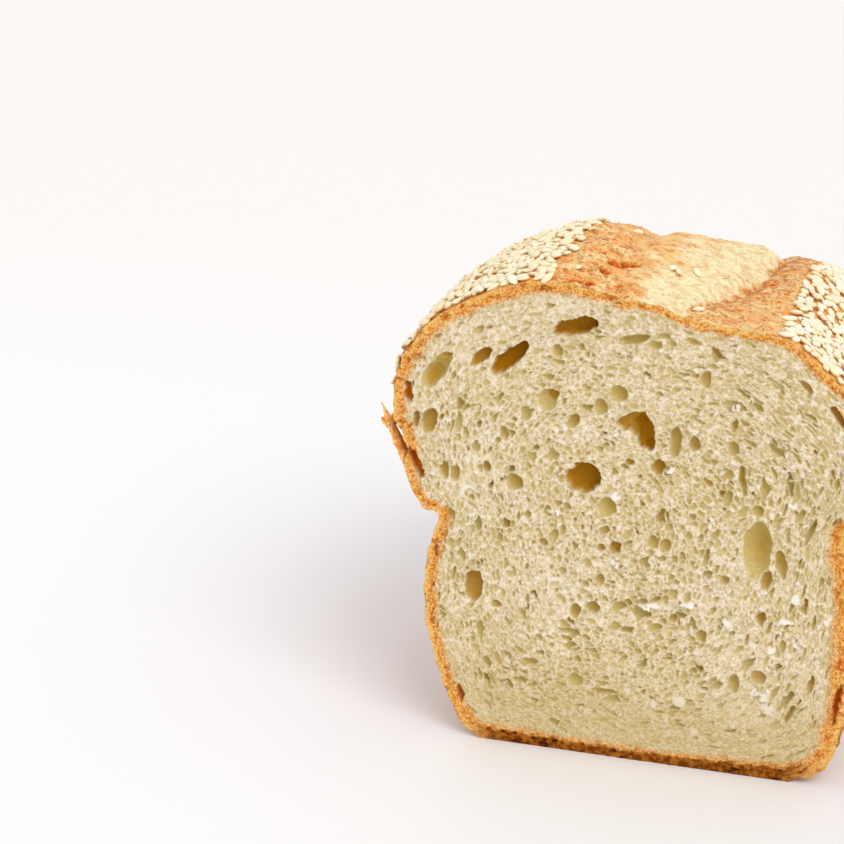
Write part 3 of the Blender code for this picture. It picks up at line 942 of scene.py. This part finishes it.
# A sheet over the whole cut, stretched between its four sides.
CRUMB_COLUMNS = 500
CRUMB_ROWS = 470
corner_ring = int(np.searchsorted(ring_levels, LEVEL["upper cheek"] + 0.3))
left_side = spaced(crust_points[skin_index[:corner_ring + 1, 0]], CRUMB_ROWS)
right_side = spaced(crust_points[skin_index[:corner_ring + 1, -1]], CRUMB_ROWS)
bottom_side = spaced(crust_points[base_index[0]], CRUMB_COLUMNS)
top_side = spaced(np.concatenate([
    crust_points[skin_index[corner_ring:, 0]],
    crust_points[ridge_index[0, 1:-1]],
    crust_points[skin_index[:corner_ring - 1:-1, -1]],
]), CRUMB_COLUMNS)
u = np.linspace(0, 1, CRUMB_COLUMNS)[None, :, None]
v = np.linspace(0, 1, CRUMB_ROWS)[:, None, None]
sheet = (1 - v) * bottom_side[None] + v * top_side[None]
sheet = sheet + (1 - u) * left_side[:, None] + u * right_side[:, None]
sheet -= (1 - u) * ((1 - v) * bottom_side[0] + v * top_side[0])
sheet -= u * ((1 - v) * bottom_side[-1] + v * top_side[-1])
crumb_points = sheet.reshape(-1, 3)
_, to_crust = nearest(crumb_points, [(x, cut_y, z) for x, z in cut_outline[::2]])
x, z = crumb_points[:, 0], crumb_points[:, 2]
inner = smooth(0.0, 0.0012, to_crust)
crumb_points[:, 1] = cut_y + read_map(relief, x, z) * inner
crumb_index = np.arange(len(crumb_points)).reshape(CRUMB_ROWS, CRUMB_COLUMNS)
crumb = new_mesh("crumb", crumb_points, grid_faces(crumb_index))
# Pore depth, by which the finish paints shade into the pores.
paint(crumb, "hollow", np.clip(read_map(hollow, x, z) / 0.0007, 0, 1) * inner)
maps = {"dark": dark, "shade_side": shade_side, "cell_wall": cell_wall, "shred": shred}
for name, values in maps.items():
    paint(crumb, name, read_map(values, x, z))
paint(crumb, "to_crust", to_crust * 1000)

# How deep the baked crust goes in from the skin, in millimetres: more on the left cheek, the base,
# the two tin walls and most of all the right one.
thick = 1.6 + 0.9 * smooth(0.060, 0.075, z) * smooth(0.0, -0.03, x)
thick += 1.3 * smooth(0.012, 0.002, z)
thick += 0.9 * smooth(0.010, 0.040, np.abs(x)) * smooth(0.070, 0.050, z)
thick += 1.2 * smooth(0.036, 0.046, x) * smooth(0.075, 0.055, z)
paint(crumb, "crust_depth", thick)
paint(crumb, "underside", smooth(0.010, 0.002, z) * smooth(-0.042, -0.032, x) * smooth(0.046, 0.034, x))
paint(crumb, "dense", smooth(0.032, 0.010, z))
airy = 0.6 * rough(crumb_points, 0.016, 171, 2)
for area_x, area_z, area_size in AIRY_AREAS:
    airy += 0.8 * np.exp(-((x - area_x) ** 2 + (z - area_z) ** 2) / area_size**2)
paint(crumb, "airy", np.clip(airy, 0, 1))

soft, shader, start = new_finish("open crumb", Roughness=0.85, Specular_IOR_Level=0.08,
                                 Subsurface_Weight=0.3, Subsurface_Radius=(1.0, 0.75, 0.4),
                                 Subsurface_Scale=0.001)
fine = speckle(start, 0.0008, 3.0)
grit = speckle(start, 0.00045, 2.0)
hollowed = painted(start, "hollow")
darkness = painted(start, "dark")
# Painted shade on the upper right side of each pore.
painted_shade_side = painted(start, "shade_side")
skin_away = painted(start, "to_crust")
# Painted shade: pores are coloured darker and more olive the deeper they go, most on their upper right
# side.
pore_shade_colour = over(painted_shade_side, tint(208, 190, 118), tint(178, 155, 72))
near_crust = 1 - between(2.0, 7.0, skin_away)
# Painted shade in deep holes: dark gold, darker on the upper right side, orange near the crust.
hole_shade_colour = over(painted_shade_side, tint(214, 158, 22), tint(160, 108, 0))
hole_shade_colour = over(near_crust * 0.8, hole_shade_colour, tint(204, 96, 8))
# How much painted shade each hole gets, more on its upper right side.
painted_hole_shade = darkness * (darkness + (1 - darkness) * painted_shade_side * 1.3) * (0.75 + fine * 0.5)
torn_rim = painted(start, "cell_wall") * between(0.35, 0.62, speckle(start, 0.0013))
torn_open = painted(start, "airy") * (1 - darkness) * (1 - hollowed * 0.7)
torn_light = between(0.42, 0.58, speckle(start, 0.0022, 3.0)) * 0.6 + torn_open * 0.4 + 0.2
# White flecks of torn crumb on the walls, partly painted glints; none in the pores.
white_flecks_and_glints = between(0.53, 0.62, grit) * (1 - between(0.0, 0.5, hollowed)) * torn_light

# The baked edge: golden, with its own fine pores, and browned hard underneath.
depth_in = skin_away + (fine - 0.5) * 1.8 + (speckle(start, 0.003) - 0.5) * 1.6
share_in = depth_in / painted(start, "crust_depth")
fine_pores = cells(start, 0.00055)
golden_grit = between(0.54, 0.62, grit) * between(0.42, 0.58, speckle(start, 0.0026))
crust_pores = between(0.56, 0.66, speckle(start, 0.0019, 3.0, (0.8, 1.0, 1.3)))
golden = coated(
    over(between(0.15, 0.65, share_in), tint(242, 184, 92), tint(222, 138, 32)),
    # painted shade in the band's hollows
    (between(0.10, 0.60, hollowed) * 0.6, tint(198, 104, 4)),
    ((1 - between(0.16, 0.46, fine_pores)) * 0.45, tint(206, 118, 18)),
    (between(0.44, 0.68, fine_pores) * 0.6, tint(254, 212, 142)),
    (golden_grit * 0.8, tint(254, 218, 138)),
    (crust_pores * 0.7, tint(184, 84, 0)),
    # painted shade in the holes that reach the band
    (darkness, tint(184, 82, 0)),
)
browned = over(between(0.40, 0.62, speckle(start, 0.0011, 3.0)), tint(122, 60, 6), tint(176, 108, 32))
browned = over(crust_pores, browned, tint(78, 30, 2))
browned_depth = painted(start, "underside") * (1 - between(0.70, 1.00, share_in))
colour = coated(
    over(between(0.35, 0.65, fine), tint(205, 184, 124), tint(228, 206, 158)),
    # painted shade in the pores
    (between(0.0, 1.0, hollowed) * (0.55 + painted_shade_side * 0.45), pore_shade_colour),
    # painted shade in the holes
    (painted_hole_shade, hole_shade_colour),
    (torn_rim * 0.8, tint(252, 234, 214)),
    (torn_open * 0.35, tint(252, 238, 212)),
    (white_flecks_and_glints, tint(255, 247, 230)),
    (painted(start, "shred"), tint(255, 247, 234)),
    (painted(start, "dense") * 0.45, tint(206, 182, 120)),
    (1 - between(0.75, 1.60, share_in), golden),
    (browned_depth, browned),
)
connect(colour, shader, "Base Color")
CRUMB_RELIEF = 0.00022
raised(grit + fine * 0.8, CRUMB_RELIEF, shader)
crumb.data.materials.append(soft)

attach(crumb, "root")
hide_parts("tin_loaf")

# Torn flake
# A thin strip of the cheek's crust that the knife tore loose. It hangs on by its lower end, curls
# outward and up to a point, and has a short prong that leans back on the cheek.

# Each strip: its middle line (x, z) from the root to the point, and its thickness at the root.
FLAKE_STRIPS = [metres(strip, 2) for strip in (
    ((-545, 645), (-561, 671), (-573, 698), (-586, 724), (-596, 748), (-605, 771), (-613, 800),
     (-619, 829)),
    ((-604, 772), (-602, 788), (-592, 799), (-576, 802)),
    ((-606, 766), (-613, 772), (-617, 780), (-619, 790)),
)]
FLAKE_THICKNESS = (0.0013, 0.0009, 0.0008)
FLAKE_DEPTH = 0.0042
FLAKE_ROUGHNESS = 0.00022
FLAKE_BEHIND_CUT = 0.0003
FLAKE_STEPS = 70
FLAKE_SIDES = 20

flake_points, flake_faces = [], []
for strip, thickness in zip(FLAKE_STRIPS, FLAKE_THICKNESS):
    line = np.array([[along([x for x, _ in strip], t), 0.0, along([z for _, z in strip], t)]
                     for t in np.linspace(0, len(strip) - 1, 400)])
    line = spaced(line, FLAKE_STEPS)
    way = np.gradient(line, axis=0)
    outward = np.column_stack([-way[:, 2], 0 * way[:, 0], way[:, 0]])
    outward = outward / np.linalg.norm(outward, axis=1)[:, None]
    thinner = (1 - np.linspace(0, 1, FLAKE_STEPS) ** 2.2)[:, None] + 0.06
    turns_round = np.linspace(0, 2 * np.pi, FLAKE_SIDES, endpoint=False)
    thick_way = np.cos(turns_round)[None, :, None] * thickness / 2 * thinner[:, None]
    deep_way = (1 - np.sin(turns_round))[None, :, None] * FLAKE_DEPTH / 2 * thinner[:, None]
    round_it = line[:, None] + outward[:, None] * thick_way + np.array([0.35, 1.0, 0.0]) * deep_way
    index = np.arange(FLAKE_STEPS * FLAKE_SIDES).reshape(FLAKE_STEPS, FLAKE_SIDES)
    index = np.column_stack([index, index[:, 0]]) + sum(map(len, flake_points))
    flake_faces.append(grid_faces(index))
    flake_points.append(round_it.reshape(-1, 3))
flake_points = np.concatenate(flake_points)
wobble = np.column_stack([rough(flake_points, 0.0014, 160 + 10 * axis, 3) for axis in range(3)])
flake_points = flake_points + FLAKE_ROUGHNESS * wobble + np.array([0.0, cut_y + FLAKE_BEHIND_CUT, 0.0])
flake_points[:, 1] = np.maximum(flake_points[:, 1], cut_y)
flake = new_mesh("torn_flake", flake_points, np.concatenate(flake_faces))

torn, shader, start = new_finish("torn crust", Roughness=0.6, Specular_IOR_Level=0.3,
                                 Subsurface_Weight=0.3, Subsurface_Radius=(1.0, 0.6, 0.2),
                                 Subsurface_Scale=0.001)
colour = over(between(0.35, 0.65, speckle(start, 0.0010)), tint(232, 146, 58), tint(255, 210, 136))
connect(colour, shader, "Base Color")
raised(speckle(start, 0.0006), 0.0002, shader)
flake.data.materials.append(torn)

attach(flake, "root")
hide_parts("tin_loaf")

# Sesame
# Hulled sesame seeds, strewn thick on the wet dough in a band along each shoulder. They baked on
# where they fell, flat on the crust or across each other, and a few lie on the bare top.

SEED_LENGTH = 0.0036
SEED_WIDTH = 0.0023
SEED_THICKNESS = 0.0012
SEED_BEDDED = 0.00042
SEED_STEP = 0.00026
SEED_OVERLAP_REACH = 0.0024
SEED_CLEAR_OF_CUT = 0.0012
SEED_BAND_FRINGE = 0.0016
SEED_SIDES = 8
SEED_RINGS = 7
SEEDS_TRIED = 8000
SEED_SPACING = 0.00180
SEED_SPACING_LEFT = 0.00148
LONE_SEEDS = metres(((-1, 285), (22, 265), (48, 340), (100, 88), (-136, 554), (-178, 99)), 2)

# One seed, drawn to a point at one end: rings of sides, then its two tips.
seed_turns = np.linspace(0, 2 * np.pi, SEED_SIDES, endpoint=False)
seed_along = (1 - np.cos(np.linspace(0, np.pi, SEED_RINGS + 2)[1:-1])) / 2
seed_girth = np.sin(np.pi * seed_along) ** 0.65 * (1.16 - 0.50 * seed_along)
seed_rings = [
    (SEED_LENGTH * (s - 0.5), SEED_WIDTH / 2 * g * math.cos(a), SEED_THICKNESS / 2 * g * math.sin(a))
    for s, g in zip(seed_along, seed_girth) for a in seed_turns
]
seed_shape = np.array([*seed_rings, (-SEED_LENGTH / 2, 0, 0), (SEED_LENGTH / 2, 0, 0)])
seed_index = np.arange(SEED_RINGS * SEED_SIDES).reshape(SEED_RINGS, SEED_SIDES)
seed_index = np.column_stack([seed_index, seed_index[:, 0]])
tail, tip = SEED_RINGS * SEED_SIDES, SEED_RINGS * SEED_SIDES + 1
seed_faces = [tuple(face[::-1]) for face in grid_faces(seed_index)]
seed_faces += [(tail, seed_index[0, i + 1], seed_index[0, i]) for i in range(SEED_SIDES)]
seed_faces += [(tip, seed_index[-1, i], seed_index[-1, i + 1]) for i in range(SEED_SIDES)]

crust_out = directions(crust)
lowest = LEVEL["upper cheek"] - 0.2
fringe = SEED_BAND_FRINGE * rough(crust_points, 0.004, 141, 2)
in_band = crust_points[:, 0] < SEED_BAND_LEFT_X + fringe
in_band |= crust_points[:, 0] > SEED_BAND_RIGHT_X - fringe
in_band &= (level_of > lowest + 0.35 * rough(crust_points, 0.006, 151, 2)) & (level_of < TOP_LEVEL)
in_band &= from_cut > SEED_CLEAR_OF_CUT
thinning = smooth(0.112, 0.080, from_cut) * smooth(lowest - 0.2, lowest + 0.7, level_of)
picks = dice.choice(np.flatnonzero(in_band), SEEDS_TRIED, replace=False)
picks = picks[dice.uniform(0, 1, SEEDS_TRIED) < 0.12 + thinning[picks]]
lone = [int(np.argmin(np.hypot(crust_points[:, 0] - x, from_cut - y) + (level_of < LEVEL["crown edge"])))
        for x, y in LONE_SEEDS]
seed_places, seed_lifts = [], []
for pick in [*lone, *picks]:
    here = crust_points[pick]
    if seed_places:
        apart = np.linalg.norm(np.array(seed_places) - here, axis=1)
        if apart.min() < (SEED_SPACING if here[0] > 0 else SEED_SPACING_LEFT):
            continue
        over_others = int((apart < SEED_OVERLAP_REACH).sum())
    else:
        over_others = 0
    seed_places.append(here)
    seed_lifts.append((pick, min(over_others, 2)))
seed_points, seed_shades = [], []
# The underside of each seed, coloured golden: its baked edge, and painted shade where it meets the crust.
seed_foot_tone_and_shade = smooth(0.45, -0.35, seed_shape[:, 2] / (SEED_THICKNESS / 2))
for count, (here, (pick, over_others)) in enumerate(zip(seed_places, seed_lifts)):
    up = Vector(crust_out[pick]).normalized()
    way = Matrix.Rotation(dice.uniform(0, 6.28), 3, "Z")
    frame_of_seed = up.to_track_quat("Z", "Y").to_matrix() @ way
    lean = Matrix.Rotation(dice.normal(0, 0.06 + 0.08 * over_others), 3, "Y")
    roll = Matrix.Rotation(dice.normal(0, 0.18), 3, "X")
    size = dice.normal(1.0, 0.07)
    laid = seed_shape * size @ np.array(frame_of_seed @ lean @ roll).T
    lifted = here + np.array(up) * (SEED_BEDDED + SEED_STEP * over_others)
    seed_points.append(laid + lifted)
    seed_shades.append(np.full(len(seed_shape), dice.uniform(0.1, 1.0) * (1.0 if here[0] > 0 else 0.8)))
seed_count = len(seed_places)
seed_mesh = bpy.data.meshes.new("sesame")
offsets = len(seed_shape)
seed_mesh.from_pydata(
    np.concatenate(seed_points).tolist(), [],
    [tuple(int(k) + n * offsets for k in face) for n in range(seed_count) for face in seed_faces])
seed_mesh.shade_smooth()
sesame = bpy.data.objects.new("sesame", seed_mesh)
bpy.context.scene.collection.objects.link(sesame)
paint(sesame, "shade", np.concatenate(seed_shades))
paint(sesame, "rim", np.tile(seed_foot_tone_and_shade, seed_count))

hulled, shader, start = new_finish("hulled sesame", Roughness=0.42, Specular_IOR_Level=0.45,
                                   Subsurface_Weight=0.22, Subsurface_Radius=(1.0, 0.75, 0.4),
                                   Subsurface_Scale=0.0012)
colour = coated(
    over(painted(start, "shade"), tint(255, 236, 188), tint(255, 250, 230)),
    (between(0.55, 0.75, speckle(start, 0.003)) * 0.4, tint(240, 208, 142)),
    # golden underside: baked edge and painted shade
    (painted(start, "rim") * 0.6, tint(252, 200, 122)),
)
connect(colour, shader, "Base Color")
raised(speckle(start, 0.0006), 0.00008, shader)
sesame.data.materials.append(hulled)

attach(sesame, "root")
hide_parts("tin_loaf")

# Floor and light
# A plain pale floor and a pale sky all round, as a sheet of white card gives. The main light is
# large and soft and comes from the right, in front and above; a weaker one from above and behind.

floor_points = np.array([(-6.0, -6.0, 0.0), (6.0, -6.0, 0.0), (6.0, 6.0, 0.0), (-6.0, 6.0, 0.0)])
floor = new_mesh("floor", floor_points, np.array([[0, 1, 2, 3]]))
paper, shader, start = new_finish("pale floor", Roughness=0.6, Specular_IOR_Level=0.2)
back = start.node("ShaderNodeSeparateXYZ", None, {"Vector": place(start)}, output=1)
further = between(-0.1, 0.5, back)
colour = over(further, tint(248, 248, 251), tint(246, 244, 243))
connect(colour, shader, "Base Color")
floor.data.materials.append(paper)


def soft_light(name, where, strength, spread, colour):
    """A wide light from far away that shines from where towards the loaf."""
    data = bpy.data.lights.new(name, "SUN")
    data.energy = strength
    data.angle = math.radians(spread)
    data.color = colour
    light = bpy.data.objects.new(name, data)
    light.rotation_euler = (-Vector(where)).to_track_quat("-Z", "Y").to_euler()
    bpy.context.scene.collection.objects.link(light)


soft_light("key", (0.75, -0.75, 1.05), 1.10, 35.0, (1.0, 0.99, 0.975))
soft_light("top", (-0.25, 0.60, 1.15), 0.40, 60.0, (1.0, 0.99, 0.98))
sky = bpy.data.worlds.new("sky")
sky.use_nodes = True
sky.node_tree.nodes["Background"].inputs["Color"].default_value = (1.0, 0.99, 0.985, 1.0)
sky.node_tree.nodes["Background"].inputs["Strength"].default_value = 0.72
bpy.context.scene.world = sky
bpy.context.scene.view_settings.view_transform = "Standard"

# Camera
# At the photo's own place and angle: a little above the loaf and right of its middle, turned to the
# left, so that the loaf stands at the right of the picture and its right side runs out of it.
camera_data = bpy.data.cameras.new("camera")
camera_data.lens = 85.8
camera_data.sensor_width = 36.0
camera = bpy.data.objects.new("camera", camera_data)
camera.location = (0.0823, -0.4836, 0.2231)
looking = Vector((-0.28724, 0.90664, -0.30854))
camera.rotation_euler = looking.to_track_quat("-Z", "Y").to_euler()
bpy.context.scene.collection.objects.link(camera)
bpy.context.scene.camera = camera
